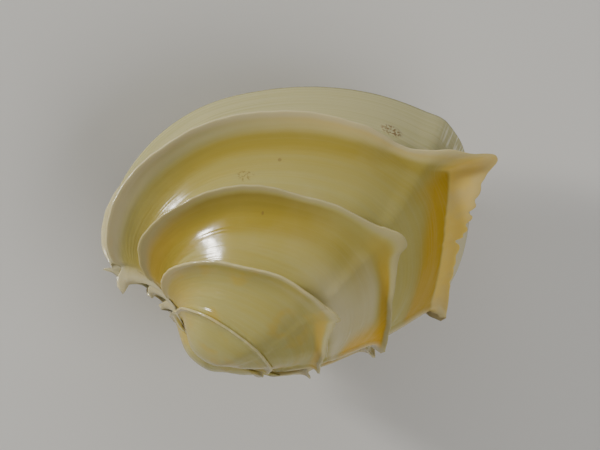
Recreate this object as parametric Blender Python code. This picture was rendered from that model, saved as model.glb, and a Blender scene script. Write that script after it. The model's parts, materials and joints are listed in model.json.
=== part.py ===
"""A venus clam shell: both valves closed together, with the ligament that joins them.

Each valve is one growth surface. The outline of its margin turns about the hinge and shrinks
towards the beak, as the shell's own growth stages do, and four thin frills stand up from it.
Lengths in the tables are millimetres in the shell's own frame: the beak is the origin, +X runs
towards the posterior end, +Y towards the ventral margin and +Z out through the right valve.
"""

import math

import bmesh
import bpy
import numpy as np
from mathutils import Euler, Matrix, Vector

MM = 0.001

# Growth: a stage of relative size s is the margin's outline shrunk to s, turned in its own plane
# and swung up about the hinge axis. Both turns grow towards the beak. The outline's posterior
# corner is blunt there and grows sharper towards the margin.
SWING_RATE = 1.15
HINGE_AXIS = math.radians(-32.8)
TURN_MOST = math.radians(50)
TURN_SWING = math.radians(116)
BEAK_SWING = math.radians(165)
CORNER_ANGLE = math.radians(39.5)
CORNER_WIDE = math.radians(9.5)
CORNER_GAINS = 0.13

# The margin's outline about the beak: angle in degrees, reach.
MARGIN = (
    (10.0, 27.2),
    (15.4, 29.6),
    (28.4, 34.0),
    (38.5, 36.5),
    (41.5, 36.6),
    (46.0, 35.5),
    (53.5, 33.7),
    (62.7, 31.4),
    (74.5, 28.6),
    (91.9, 25.1),
    (111.3, 20.7),
    (129.6, 16.5),
    (138.0, 14.4),
    (144.0, 12.4),
)
ESCUTCHEON_BOW = 5.0
LUNULE_BOW = -12.0
ESCUTCHEON_END = 0.12
LUNULE_START = 0.93

# Frills, first to last: the stage each stands on and its height, by angle round the shell, and
# the run of the concave rise up to it.
FRILLS = (
    dict(
        run=1.0,
        stage=((10, 0.285), (30, 0.272), (60, 0.278), (90, 0.285), (144, 0.287)),
        height=((10, 0.9), (16, 0.4), (25, 0.35), (60, 0.5), (90, 1.0), (110, 0.8), (136, 0.5),
                (144, 1.8)),
    ),
    dict(
        run=1.8,
        stage=((10, 0.47), (16, 0.44), (28, 0.42), (44, 0.43), (60, 0.43), (80, 0.42), (144, 0.42)),
        height=((10, 1.5), (16, 0.8), (30, 1.2), (34, 1.8), (38, 2.8), (42, 3.6), (44, 3.2), (60, 2.7),
                (80, 2.4), (120, 2.1), (136, 1.2), (142, 0.7), (144, 3.2)),
    ),
    dict(
        run=2.6,
        stage=((10, 0.70), (16, 0.66), (28, 0.62), (144, 0.62)),
        height=((10, 2.1), (16, 1.1), (25, 1.0), (33, 1.5), (36, 2.0), (38, 2.7), (40, 3.8), (42, 4.2),
                (43.5, 3.5), (46.5, 2.9), (49, 2.5), (52, 2.2), (56, 2.1), (66, 1.8), (80, 2.5), (100, 2.5),
                (125, 2.8), (134, 1.9), (139, 1.0), (142, 0.4), (144, 1.3)),
    ),
    dict(
        run=3.2,
        stage=((10, 0.96), (14, 0.915), (19, 0.882), (25, 0.865), (30, 0.866), (33, 0.877),
               (36, 0.895), (37.7, 0.903), (40, 0.879), (43, 0.852), (46, 0.845), (50, 0.837),
               (54, 0.827), (60, 0.82), (100, 0.828), (130, 0.84), (144, 0.89)),
        height=((10, 2.6), (16, 1.2), (25, 1.6), (30, 2.8), (34, 3.7), (36, 4.2), (37.2, 4.9),
                (38.2, 5.7), (39.2, 5.9), (40.3, 5.4), (41.5, 4.3), (43, 3.0), (44.2, 2.2),
                (46, 1.7), (48, 1.4), (50, 1.4), (53, 1.9), (57, 2.5), (70, 3.1), (100, 3.4),
                (115, 3.7), (130, 3.2), (136, 2.4), (139.5, 1.5), (142, 0.3), (144, 1.9)),
        splay=((10, -0.45), (16, 0.0), (28, -0.03), (34, -0.05), (36, -0.19), (38, -0.35),
               (40, -0.29), (42, -0.31), (44, -0.44), (46, -0.3), (50, -0.22), (54, -0.06),
               (60, 0.0), (138, 0.0), (144, 0.7)),
    ),
)
LEAN = ((10, 60), (16, 36), (25, 38), (36, 45), (44, 35), (55, 20), (100, 20), (120, 32), (137, 42),
        (144, 72))
SPLAY = ((10, -0.45), (16, 0.0), (138, 0.0), (144, 0.7))
CREASE = ((10, 2.0), (38, 2.2), (55, 1.0), (144, 1.0))
FRILL_EDGE = 0.40
FRILL_EDGE_ROUND = 0.25
FRILL_FRONT_HOLLOW = 0.2
FRILL_FRONT_UP = 0.45
FRILL_FOOT = 0.9
LOW_FRILL = 0.8
SPINE_BACK = 0.012
SPINE_FRONT = 0.007

# The hollow of a valve: the wall is thicker along the hinge, between these turns of the outline.
WALL = 1.3
HINGE_PLATE = 3.4
PLATE_ENDS_BACK = (0.09, 0.168)
PLATE_STARTS_FRONT = (0.88, 0.95)
HOLLOW_CENTRE = (7.0, 13.0)
HOLLOW_TOP_STAGE = 0.36
HOLLOW_SPACING = 0.85
VALVE_GAP = 0.3

# The ligament lies along the hinge behind the beaks.
LIGAMENT_FROM = 0.16
LIGAMENT_TO = 0.56
LIGAMENT_WIDE = 1.1
LIGAMENT_HIGH = 0.9
LIGAMENT_TAPER = 0.6

# The closed shell lies on the frills of its left valve: turned about X, then about Y.
LIES_TURNED = (math.radians(-13.98), math.radians(-5.45), 0.0)

# Mesh density
BEAK_ROWS = 4
SPACE_ROWS = 2
BAND_ROWS = 4
HOLLOW_ROWS = 7
FLARE_STEPS = (0.0, 0.34, 0.6, 0.82, 1.0)
COLUMNS = ((10.0, 26.0, 5), (26.0, 37.5, 5), (37.5, 46.0, 4), (46.0, 60.0, 4), (60.0, 122.0, 13),
           (122.0, 144.0, 7))
ESCUTCHEON_COLUMNS = (0.0, 0.36, 0.66, 0.91)
LUNULE_COLUMNS = (0.08, 0.3, 0.62)
LIGAMENT_STATIONS = 13
LIGAMENT_SIDES = 12


def curve_through(points, x):
    """A smooth curve through (x, value) points that never swings past them."""
    px, py = np.array(points, float).T
    step = np.diff(px)
    rise = np.diff(py) / step
    before, after = rise[:-1], rise[1:]
    near, far = 2 * step[1:] + step[:-1], step[1:] + 2 * step[:-1]
    turning = before * after <= 0
    before, after = np.where(turning, 1, before), np.where(turning, 1, after)
    inner = np.where(turning, 0, (near + far) / (near / before + far / after))
    slope = np.concatenate([rise[:1], inner, rise[-1:]])
    x = np.clip(x, px[0], px[-1])
    i = np.clip(np.searchsorted(px, x, side="right") - 1, 0, len(px) - 2)
    t = (x - px[i]) / step[i]
    return (
        py[i] * (1 + 2 * t) * (1 - t) ** 2
        + slope[i] * step[i] * t * (1 - t) ** 2
        + py[i + 1] * t * t * (3 - 2 * t)
        + slope[i + 1] * step[i] * t * t * (t - 1)
    )


def smooth_step(low, high, x):
    t = np.clip((x - low) / (high - low), 0, 1)
    return t * t * (3 - 2 * t)


def outline(turn):
    """Angle in degrees and reach of the margin at each turn, from 0 at the beak, along the
    escutcheon, round the margin and back along the lunule to the beak at 1."""
    turn = np.asarray(turn, float)
    first, last = MARGIN[0], MARGIN[-1]
    back = np.clip(turn / ESCUTCHEON_END, 0, 1)
    front = np.clip((1 - turn) / (1 - LUNULE_START), 0, 1)
    round_it = np.clip((turn - ESCUTCHEON_END) / (LUNULE_START - ESCUTCHEON_END), 0, 1)
    angle = first[0] + (last[0] - first[0]) * round_it
    reach = curve_through(MARGIN, angle) * back * front
    angle = angle - ESCUTCHEON_BOW * (1 - back) + LUNULE_BOW * (1 - front)
    return angle, reach


def stage_point(stage, angle, reach):
    """Where the outline's point at (angle, reach) lies at a growth stage."""
    swing = -SWING_RATE * np.log(stage)
    in_plane_turn = TURN_MOST * (1 - np.exp(-swing / TURN_SWING))
    from_axis = np.radians(angle) - in_plane_turn - HINGE_AXIS
    from_corner = (np.radians(angle) - CORNER_ANGLE) / CORNER_WIDE
    grown = stage * reach * (1 - CORNER_GAINS * (1 - stage) * np.exp(-from_corner * from_corner))
    along = grown * np.cos(from_axis)
    off = grown * np.sin(from_axis)
    ax, ay = math.cos(HINGE_AXIS), math.sin(HINGE_AXIS)
    return np.stack(
        [
            along * ax - off * np.cos(swing) * ay,
            along * ay + off * np.cos(swing) * ax,
            off * np.sin(swing),
        ],
        axis=-1,
    )


def unit(v):
    return v / np.maximum(np.linalg.norm(v, axis=-1, keepdims=True), 1e-9)


def surface_frame(stage, turn):
    """Outward normal, growing direction, direction around and growth speed at (stage, turn)."""
    d_stage, d_turn = 1e-4, 4e-3
    point = stage_point(stage, *outline(turn))
    forward = stage_point(stage + d_stage, *outline(turn)) - point
    ahead = stage_point(stage, *outline(np.minimum(turn + d_turn, 1)))
    behind = stage_point(stage, *outline(np.maximum(turn - d_turn, 0)))
    around = unit(ahead - behind)
    normal = unit(np.cross(forward, around))
    growing = np.cross(around, normal)
    speed = np.sum(forward * growing, axis=-1) / d_stage
    return normal, growing, around, np.maximum(speed, 1e-3)


def frill_height(frill, turn):
    """The frill's height: it ends in a spine at the escutcheon's and the lunule's ridge."""
    angle, _ = outline(turn)
    height = curve_through(frill["height"], angle)
    on_escutcheon = np.clip((ESCUTCHEON_END - turn) / SPINE_BACK, 0, 1)
    on_lunule = np.clip((turn - LUNULE_START) / SPINE_FRONT, 0, 1)
    return height * (1 - on_escutcheon) * (1 - on_lunule)


def frill_rows(frill, turn):
    """Rows of points up the frill's concave face, over its edge and down its front."""
    angle, _ = outline(turn)
    stage = curve_through(frill["stage"], angle)
    normal, growing, around, speed = surface_frame(stage, turn)
    height = frill_height(frill, turn)
    lean = np.radians(curve_through(LEAN, angle))[:, None]
    splay = curve_through(frill.get("splay", SPLAY), angle)[:, None]
    face = normal * np.cos(lean) + growing * np.sin(lean) + around * splay
    front = growing * np.cos(lean) - normal * np.sin(lean)
    crease = curve_through(CREASE, angle)
    low = np.minimum(1, height / LOW_FRILL)
    run = frill["run"] * low
    rows = []
    for t in FLARE_STEPS:
        weight = (1 - t) ** 2 + 2 * crease * t * (1 - t) + t * t
        back = run * (1 - t) ** 2 / weight
        up = height * t * t / weight
        rows.append(stage_point(stage - back / speed, *outline(turn)) + face * up[:, None])
    thin = np.minimum(FRILL_EDGE, height)[:, None]
    edge = rows[-1] + (front - face * FRILL_EDGE_ROUND) * thin
    foot_stage = stage + FRILL_FOOT * low / speed
    foot = stage_point(foot_stage, *outline(turn))
    middle = foot + (edge - foot) * FRILL_FRONT_UP - front * thin * FRILL_FRONT_HOLLOW
    rows.extend([edge, middle, foot])
    return rows, stage - run / speed, foot_stage


def outer_rows(turn):
    """Every row of the outer surface, from the beak's tip to the margin."""
    edge = outline(turn)
    first = math.exp(-BEAK_SWING / SWING_RATE)
    rows = []
    reached = np.full_like(turn, first)
    for number, frill in enumerate(FRILLS):
        up, start, end = frill_rows(frill, turn)
        steps = BEAK_ROWS if number == 0 else SPACE_ROWS
        for k in range(1 if number else 0, steps):
            rows.append(stage_point(reached * (start / reached) ** (k / steps), *edge))
        rows.extend(up)
        reached = end
    for k in range(1, BAND_ROWS + 1):
        rows.append(stage_point(reached + (1 - reached) * k / BAND_ROWS, *edge))
    return rows


def hollow_rows(turn):
    """Rows of the hollow, from the rim inward: the outline drawn in by the wall."""
    angle, reach = outline(turn)
    x = reach * np.cos(np.radians(angle))
    y = reach * np.sin(np.radians(angle))
    cx, cy = HOLLOW_CENTRE
    far = np.hypot(x - cx, y - cy)
    plate = np.maximum(
        1 - smooth_step(*PLATE_ENDS_BACK, turn),
        smooth_step(*PLATE_STARTS_FRONT, turn),
    )
    keep = 1 - (WALL + (HINGE_PLATE - WALL) * plate) / far
    x, y = cx + (x - cx) * keep, cy + (y - cy) * keep
    angle, reach = np.degrees(np.arctan2(y, x)), np.hypot(x, y)
    stages = 1 - (1 - HOLLOW_TOP_STAGE) * np.linspace(0, 1, HOLLOW_ROWS) ** HOLLOW_SPACING
    return [stage_point(np.full_like(turn, s), angle, reach) for s in stages]


def column_turns():
    """Turns of the mesh's columns, closer together where the outline bends."""
    angles = []
    for low, high, count in COLUMNS:
        angles.extend(low + (high - low) * k / count for k in range(count))
    angles.append(COLUMNS[-1][1])
    span = LUNULE_START - ESCUTCHEON_END
    first, last = MARGIN[0][0], MARGIN[-1][0]
    margin = [ESCUTCHEON_END + span * (a - first) / (last - first) for a in angles]
    back = [ESCUTCHEON_END * k for k in ESCUTCHEON_COLUMNS]
    front = [LUNULE_START + (1 - LUNULE_START) * k for k in LUNULE_COLUMNS]
    return np.array(back + margin + front)


def material(name, colour, roughness):
    mat = bpy.data.materials.new(name)
    mat.use_nodes = True
    shader = mat.node_tree.nodes["Principled BSDF"]
    shader.inputs["Base Color"].default_value = (*colour, 1.0)
    shader.inputs["Roughness"].default_value = roughness
    shader.inputs["Metallic"].default_value = 0.0
    return mat


def ring_faces(bm, outer, inner):
    """Quads between two closed rows of vertices; a shared vertex leaves a triangle."""
    count = len(outer)
    for k in range(count):
        corners = [outer[k], outer[(k + 1) % count], inner[(k + 1) % count], inner[k]]
        corners = list(dict.fromkeys(corners))
        if len(corners) > 2:
            bm.faces.new(corners)


def cap(bm, row):
    """A fan of triangles from a row's middle."""
    middle = bm.verts.new(sum((v.co for v in row), Vector()) / len(row))
    for k, vertex in enumerate(row):
        bm.faces.new([vertex, row[(k + 1) % len(row)], middle])


def valve_mesh(name, side):
    """One valve as a closed solid; side is 1 for the right valve and -1 for the left."""
    turn = column_turns()
    bm = bmesh.new()
    beak = bm.verts.new((0, 0, 0))
    outer = []
    for row in outer_rows(turn):
        outer.append([beak] + [bm.verts.new(p) for p in row[1:]])
    inner = [[bm.verts.new(p) for p in row] for row in hollow_rows(turn)]
    for near, far in zip(outer, outer[1:]):
        ring_faces(bm, near, far)
    ring_faces(bm, outer[-1], inner[0])
    for near, far in zip(inner, inner[1:]):
        ring_faces(bm, near, far)
    cap(bm, inner[-1])
    cap(bm, outer[0])
    for vertex in bm.verts:
        vertex.co.z = side * (max(vertex.co.z, 0) + VALVE_GAP / 2)
        vertex.co *= MM
    bmesh.ops.triangulate(bm, faces=bm.faces[:])
    bmesh.ops.recalc_face_normals(bm, faces=bm.faces[:])
    mesh = bpy.data.meshes.new(name)
    bm.to_mesh(mesh)
    bm.free()
    return mesh


def ligament_mesh(name):
    """A spindle along the hinge line, on the floor of the escutcheon."""
    turns = np.linspace(LIGAMENT_FROM, LIGAMENT_TO, LIGAMENT_STATIONS) * ESCUTCHEON_END
    angle, reach = outline(turns)
    x = reach * np.cos(np.radians(angle))
    y = reach * np.sin(np.radians(angle))
    line = np.stack([x, y, 0 * x], axis=-1)
    along = unit(np.gradient(line, axis=0))
    dorsal = np.stack([along[:, 1], -along[:, 0], 0 * x], axis=-1)
    bm = bmesh.new()
    rings = []
    for k in range(1, LIGAMENT_STATIONS - 1):
        swell = math.sin(math.pi * k / (LIGAMENT_STATIONS - 1)) ** LIGAMENT_TAPER
        middle = line[k] + dorsal[k] * (VALVE_GAP + LIGAMENT_HIGH / 2)
        ring = []
        for a in np.linspace(0, 2 * math.pi, LIGAMENT_SIDES, endpoint=False):
            out = dorsal[k] * math.cos(a) * LIGAMENT_HIGH / 2
            wide = np.array([0, 0, 1]) * math.sin(a) * LIGAMENT_WIDE / 2
            ring.append(bm.verts.new((middle + (out + wide) * swell) * MM))
        rings.append(ring)
    for near, far in zip(rings, rings[1:]):
        ring_faces(bm, near, far)
    cap(bm, rings[0])
    cap(bm, rings[-1])
    bmesh.ops.triangulate(bm, faces=bm.faces[:])
    bmesh.ops.recalc_face_normals(bm, faces=bm.faces[:])
    mesh = bpy.data.meshes.new(name)
    bm.to_mesh(mesh)
    bm.free()
    return mesh


def add(mesh, mat, lies):
    mesh.transform(lies)
    mesh.shade_smooth()
    mesh.set_sharp_from_angle(angle=math.radians(40))
    mesh.materials.append(mat)
    piece = bpy.data.objects.new(mesh.name, mesh)
    bpy.context.collection.objects.link(piece)
    return piece


def main():
    for old in list(bpy.data.objects):
        bpy.data.objects.remove(old, do_unlink=True)
    shell = material("cream_shell", (0.62, 0.52, 0.25), 0.25)
    brown = material("brown_ligament", (0.10, 0.05, 0.02), 0.5)
    lies = Euler(LIES_TURNED).to_matrix().to_4x4()
    right = add(valve_mesh("right_valve", 1), shell, lies)
    left = add(valve_mesh("left_valve", -1), shell, lies)
    ligament = add(ligament_mesh("ligament"), brown, lies)
    pieces = [right, left, ligament]
    points = [v.co for piece in pieces for v in piece.data.vertices]
    low = Vector([min(p[i] for p in points) for i in range(3)])
    high = Vector([max(p[i] for p in points) for i in range(3)])
    middle = (low + high) / 2
    stand = Matrix.Translation((-middle.x, -middle.y, -low.z))
    for piece in pieces:
        piece.data.transform(stand)


main()
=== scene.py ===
"""The looks of a venus clam shell: two frilled valves grown by one rule, and their ligament.

A valve is one growth surface. The outline of its margin turns about the hinge and shrinks towards
the beak, as the shell's own growth stages do, and thin frills stand up from it. Lengths in the
tables are millimetres in the shell's own frame: the beak is the origin, +X runs towards the
posterior end, +Y towards the ventral margin and +Z out through the right valve.
"""

import json
import math

import bmesh
import bpy
import numpy as np
from bpy.props import FloatProperty, FloatVectorProperty, IntProperty, PointerProperty
from mathutils import Euler, Matrix, Vector

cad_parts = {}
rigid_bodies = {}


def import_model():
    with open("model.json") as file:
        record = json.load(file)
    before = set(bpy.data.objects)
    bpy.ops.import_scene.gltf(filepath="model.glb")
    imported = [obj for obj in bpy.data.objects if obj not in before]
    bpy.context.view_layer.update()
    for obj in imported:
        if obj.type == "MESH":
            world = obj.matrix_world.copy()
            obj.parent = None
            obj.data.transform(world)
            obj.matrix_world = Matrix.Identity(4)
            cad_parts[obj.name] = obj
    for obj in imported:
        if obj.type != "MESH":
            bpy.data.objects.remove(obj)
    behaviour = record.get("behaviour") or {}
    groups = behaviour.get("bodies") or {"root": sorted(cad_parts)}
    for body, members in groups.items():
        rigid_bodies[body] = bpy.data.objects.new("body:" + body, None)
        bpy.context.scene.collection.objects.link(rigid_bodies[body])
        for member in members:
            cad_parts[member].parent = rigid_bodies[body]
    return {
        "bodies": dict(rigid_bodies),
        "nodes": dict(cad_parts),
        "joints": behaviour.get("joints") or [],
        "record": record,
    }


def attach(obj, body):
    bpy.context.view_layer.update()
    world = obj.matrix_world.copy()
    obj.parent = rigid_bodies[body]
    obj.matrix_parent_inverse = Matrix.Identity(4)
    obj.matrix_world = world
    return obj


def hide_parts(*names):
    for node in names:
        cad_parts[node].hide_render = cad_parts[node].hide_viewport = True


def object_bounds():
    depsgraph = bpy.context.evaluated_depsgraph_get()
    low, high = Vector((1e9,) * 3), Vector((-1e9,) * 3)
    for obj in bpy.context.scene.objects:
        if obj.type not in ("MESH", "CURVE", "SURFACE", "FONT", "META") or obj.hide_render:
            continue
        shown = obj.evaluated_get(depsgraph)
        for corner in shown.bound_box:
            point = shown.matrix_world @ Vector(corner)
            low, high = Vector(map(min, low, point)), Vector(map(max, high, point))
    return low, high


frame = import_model()
CAD_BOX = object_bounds()

bl_info = {
    "name": "Venus clam shell",
    "version": (1, 0, 0),
    "blender": (4, 5, 0),
    "location": "View3D > Sidebar > Shell",
    "description": "Builds a frilled venus clam shell, its materials and its stage",
    "category": "Object",
}

MM = 0.001

# The margin's outline about the beak: angle in degrees, reach.
MARGIN = (
    (10.0, 27.2), (15.4, 29.6), (28.4, 34.0), (38.5, 36.5), (41.5, 36.6), (46.0, 35.5), (53.5, 33.7),
    (62.7, 31.4), (74.5, 28.6), (91.9, 25.1), (111.3, 20.7), (129.6, 16.5), (138.0, 14.4), (144.0, 12.4),
)

# Along the hinge the outline runs back to the beak, bowed by these angles in degrees. Its ridges
# stand at these turns, counted from 0 at the beak round to 1.
ESCUTCHEON_BOW = 5.0
LUNULE_BOW = -12.0
ESCUTCHEON_END = 0.12
LUNULE_START = 0.93

# How far the beak's tip has swung about the hinge since the shell began.
BEAK_SWING = math.radians(165)

# The posterior corner of the outline grows sharper from the beak to the margin.
CORNER_ANGLE = math.radians(39.5)
CORNER_WIDE = math.radians(9.5)
CORNER_GAINS = 0.13

# Chips in the last frill's posterior edge: angle, depth and half width.
CHIPS = (
    (34.9, 0.20, 0.50), (32.9, 0.40, 0.45), (31.3, 0.70, 0.40), (29.3, 0.55, 0.65), (27.5, 0.35, 0.30),
    (26.2, 0.80, 0.50), (23.4, 0.22, 0.90), (20.9, 0.14, 0.45), (17.6, 0.20, 0.60),
)

# Every frill's height wavers a little: how far, and how fast by the angle in degrees.
UNEVEN = 0.022
SHORT_WAVE = 1.13
LONG_WAVE = 0.47

# Frills, first to last: the stage each stands on and its height, by angle round the shell, and
# the run of the concave rise up to it.
FRILLS = (
    dict(
        run=1.0,
        stage=((10, 0.285), (30, 0.272), (60, 0.278), (90, 0.285), (144, 0.287)),
        height=((10, 0.9), (16, 0.4), (25, 0.35), (60, 0.5), (90, 1.0), (110, 0.8), (136, 0.5), (144, 1.8)),
    ),
    dict(
        run=1.8,
        stage=((10, 0.47), (16, 0.44), (28, 0.42), (44, 0.43), (60, 0.43), (80, 0.42), (144, 0.42)),
        height=((10, 1.5), (16, 0.8), (30, 1.2), (34, 1.8), (38, 2.8), (42, 3.6), (44, 3.2), (60, 2.7),
                (80, 2.4), (120, 2.1), (136, 1.2), (142, 0.7), (144, 3.2)),
    ),
    dict(
        run=2.6,
        stage=((10, 0.70), (16, 0.66), (28, 0.62), (144, 0.62)),
        height=((10, 2.1), (16, 1.1), (25, 1.0), (33, 1.5), (36, 2.0), (38, 2.7), (40, 3.8), (42, 4.2),
                (43.5, 3.5), (46.5, 2.9), (49, 2.5), (52, 2.2), (56, 2.1), (66, 1.8), (80, 2.5), (100, 2.5),
                (125, 2.8), (134, 1.9), (139, 1.0), (142, 0.4), (144, 1.3)),
    ),
    dict(
        run=3.2,
        chips=CHIPS,
        stage=((10, 0.96), (14, 0.915), (19, 0.882), (25, 0.865), (30, 0.866), (33, 0.877),
               (36, 0.895), (37.7, 0.903), (40, 0.879), (43, 0.852), (46, 0.845), (50, 0.837),
               (54, 0.827), (60, 0.82), (100, 0.828), (130, 0.84), (144, 0.89)),
        height=((10, 2.6), (16, 1.2), (25, 1.6), (30, 2.8), (34, 3.7), (36, 4.2), (37.2, 4.9),
                (38.2, 5.7), (39.2, 5.9), (40.3, 5.4), (41.5, 4.3), (43, 3.0), (44.2, 2.2),
                (46, 1.7), (48, 1.4), (50, 1.4), (53, 1.9), (57, 2.5), (70, 3.1), (100, 3.4),
                (115, 3.7), (130, 3.2), (136, 2.4), (139.5, 1.5), (142, 0.3), (144, 1.9)),
        splay=((10, -0.45), (16, 0.0), (28, -0.03), (34, -0.05), (36, -0.19), (38, -0.35),
               (40, -0.29), (42, -0.31), (44, -0.44), (46, -0.3), (50, -0.22), (54, -0.06),
               (60, 0.0), (138, 0.0), (144, 0.7)),
    ),
)

# How a frill stands, by angle round the shell: its lean in degrees, its splay sideways for each
# unit of height, and how sharply its rise bends.
LEAN = ((10, 60), (16, 36), (25, 38), (36, 45), (44, 35), (55, 20), (100, 20), (120, 32), (137, 42),
        (144, 72))
SPLAY = ((10, -0.45), (16, 0.0), (138, 0.0), (144, 0.7))
CREASE = ((10, 2.0), (38, 2.2), (55, 1.0), (144, 1.0))

# A frill that is lower than this has a shorter rise and a thinner foot.
LOW_FRILL = 0.8

# A frill's free edge is rounded by this part of its half thickness, and its front grows thicker
# towards the foot by this power.
EDGE_ROUND = 0.7
FOOT_POWER = 3

# Past each ridge a frill ends in a spine, which dies away over this much of the outline.
SPINE_BACK = 0.012
SPINE_FRONT = 0.007

# The smooth rib along each ridge: its width in turns of the outline before and after the ridge.
RIB_BACK = (0.0035, 0.006)
RIB_FRONT = (0.007, 0.005)

# Uneven ripples of the surface: their rate by stage and by angle, their scale and detail. They
# fade out towards the hinge, over this reach, and towards the beak, between these stages.
RIPPLES_ALONG = 30.0
RIPPLES_AROUND = 2.5
RIPPLE_SCALE = 1.6
RIPPLE_DETAIL = 3.0
RIPPLE_REACH = 6.0
RIPPLE_STAGES = (0.1, 0.3)

# The hollow of a valve: its wall thins from the hinge plate's thickness between the first two
# turns of the outline and thickens to it again between the last two. The outline is drawn in
# towards the centre, and the rows stop short of the beak.
PLATE_ENDS_BACK = (0.09, 0.168)
PLATE_STARTS_FRONT = (0.88, 0.95)
HOLLOW_CENTRE = (7.0, 13.0)
HOLLOW_TOP_STAGE = 0.36
HOLLOW_SPACING = 0.85

# The ligament lies along the hinge behind the beaks, between these parts of the escutcheon.
LIGAMENT_FROM = 0.16
LIGAMENT_TO = 0.56

# The closed shell lies on the frills of its left valve: turned about X, then about Y.
LIES_TURNED = (math.radians(-13.98), math.radians(-5.45), 0.0)

# Rows and columns of a valve's mesh. A count of columns goes with each stretch of angles, and
# along the hinge they crowd towards the two ridges by the power of the spacing.
BEAK_ROWS = 26
SPACE_ROWS = 14
RISE_ROWS = 18
EDGE_ROWS = 4
FRONT_ROWS = 7
BAND_ROWS = 26
HOLLOW_ROWS = 20
COLUMNS = ((10.0, 26.0, 34), (26.0, 46.0, 60), (46.0, 60.0, 26), (60.0, 122.0, 104),
           (122.0, 144.0, 48))
ESCUTCHEON_COLUMNS = 30
LUNULE_COLUMNS = 24
RIDGE_SPACING = 1.6

# Short steps that give the surface's directions: in turns of the outline, in stage, and in stage
# for the growth tree, which is less exact. The least values keep divisions safe at the beak.
TURN_STEP = 4e-3
STAGE_STEP = 1e-4
TREE_STEP = 1e-3
LEAST_LENGTH = 1e-9
LEAST_SPEED = 1e-3

# Points closer than this are one point.
WELD = MM * 1e-4


# ---------------------------------------------------------------- node expressions

# Which output of a Texture Coordinate node is Object, and which one of an Attribute node is Factor.
OBJECT_OUTPUT = 3
FACTOR_OUTPUT = 2


def arithmetic(operation, reflected=False):
    """An operator that adds a Math node."""

    def method(wire, other):
        return wire.math(operation, *((other, wire) if reflected else (wire, other)))

    return method


class Wire:
    """A socket's value in an expression. Arithmetic on it adds Math nodes to its tree."""

    def __init__(self, nodes, socket):
        self.nodes = nodes
        self.socket = socket

    def math(self, operation, *values):
        return self.nodes.add("ShaderNodeMath", dict(operation=operation), *values)

    __add__ = __radd__ = arithmetic("ADD")
    __mul__ = __rmul__ = arithmetic("MULTIPLY")
    __sub__ = arithmetic("SUBTRACT")
    __rsub__ = arithmetic("SUBTRACT", reflected=True)
    __truediv__ = arithmetic("DIVIDE")

    def __neg__(self):
        return self * -1

    def clamp(self):
        return self.nodes.add("ShaderNodeClamp", {}, self)

    def rising(self, low, high):
        """0 below low, 1 above high and a smooth step from one to the other."""
        ramp = dict(interpolation_type="SMOOTHSTEP")
        return self.nodes.add("ShaderNodeMapRange", ramp, self, low, high)

    def falling(self, low, high):
        """1 below low, 0 above high and a smooth step from one to the other."""
        return 1 - self.rising(low, high)


class Nodes:
    """A node tree that is written as expressions."""

    def __init__(self, tree):
        self.tree = tree

    def feed(self, value, slot):
        if isinstance(value, Wire):
            self.tree.links.new(value.socket, slot)
        else:
            slot.default_value = (*value, 1.0) if slot.type == "RGBA" else value

    def add(self, kind, settings, *values, out=0, **named):
        """A node of a kind with its settings, fed in the order of its sockets or by their names."""
        node = self.tree.nodes.new(kind)
        for name, setting in settings.items():
            setattr(node, name, setting)
        live = [slot for slot in node.inputs if slot.enabled]
        for slot, value in zip(live, values):
            self.feed(value, slot)
        for name, value in named.items():
            self.feed(value, next(s for s in live if s.name == name.replace("_", " ")))
        return Wire(self, [slot for slot in node.outputs if slot.enabled][out])

    def vector(self, operation, *values):
        return self.add("ShaderNodeVectorMath", dict(operation=operation), *values)

    def xyz(self, x, y, z):
        return self.add("ShaderNodeCombineXYZ", {}, x, y, z)

    def noise(self, where, scale, detail, seed):
        """Noise about a place. The seed picks a slice of its fourth dimension."""
        settings = dict(noise_dimensions="4D")
        return self.add("ShaderNodeTexNoise", settings, Vector=where, W=seed, Scale=scale,
                        Detail=detail)

    def object_place(self):
        """Where a point lies in its object, in metres."""
        return self.add("ShaderNodeTexCoord", {}, out=OBJECT_OUTPUT)

    def mix(self, factor, first, second):
        settings = dict(data_type="RGBA", clamp_factor=True)
        return self.add("ShaderNodeMix", settings, factor, first, second)

    def bump(self, strength, distance, height):
        return self.add("ShaderNodeBump", {}, Strength=strength, Distance=distance, Height=height)


def either(operation, plain, *more):
    """A function that takes numbers and arrays, or a wire."""

    def function(x):
        return x.math(operation, x, *more) if isinstance(x, Wire) else plain(x)

    return function


sin = either("SINE", np.sin)
cos = either("COSINE", np.cos)
exp = either("EXPONENT", np.exp)
log = either("LOGARITHM", np.log, math.e)


# ---------------------------------------------------------------- the rule of growth


def growth_point(stage, angle, reach, law):
    """Where the outline's point at (angle, reach) lies at a growth stage: x, y and z. The law's
    four values are in the order of LAW. All may be numbers, arrays or wires."""
    swing_rate, hinge_axis, turn_most, turn_swing = law
    swing = -swing_rate * log(stage)
    from_axis = angle - turn_most * (1 - exp(-swing / turn_swing)) - hinge_axis
    from_corner = (angle - CORNER_ANGLE) / CORNER_WIDE
    grown = stage * reach * (1 - CORNER_GAINS * (1 - stage) * exp(-from_corner * from_corner))
    along = grown * cos(from_axis)
    off = grown * sin(from_axis)
    flat = off * cos(swing)
    ax, ay = cos(hinge_axis), sin(hinge_axis)
    return along * ax - flat * ay, along * ay + flat * ax, off * sin(swing)


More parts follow.
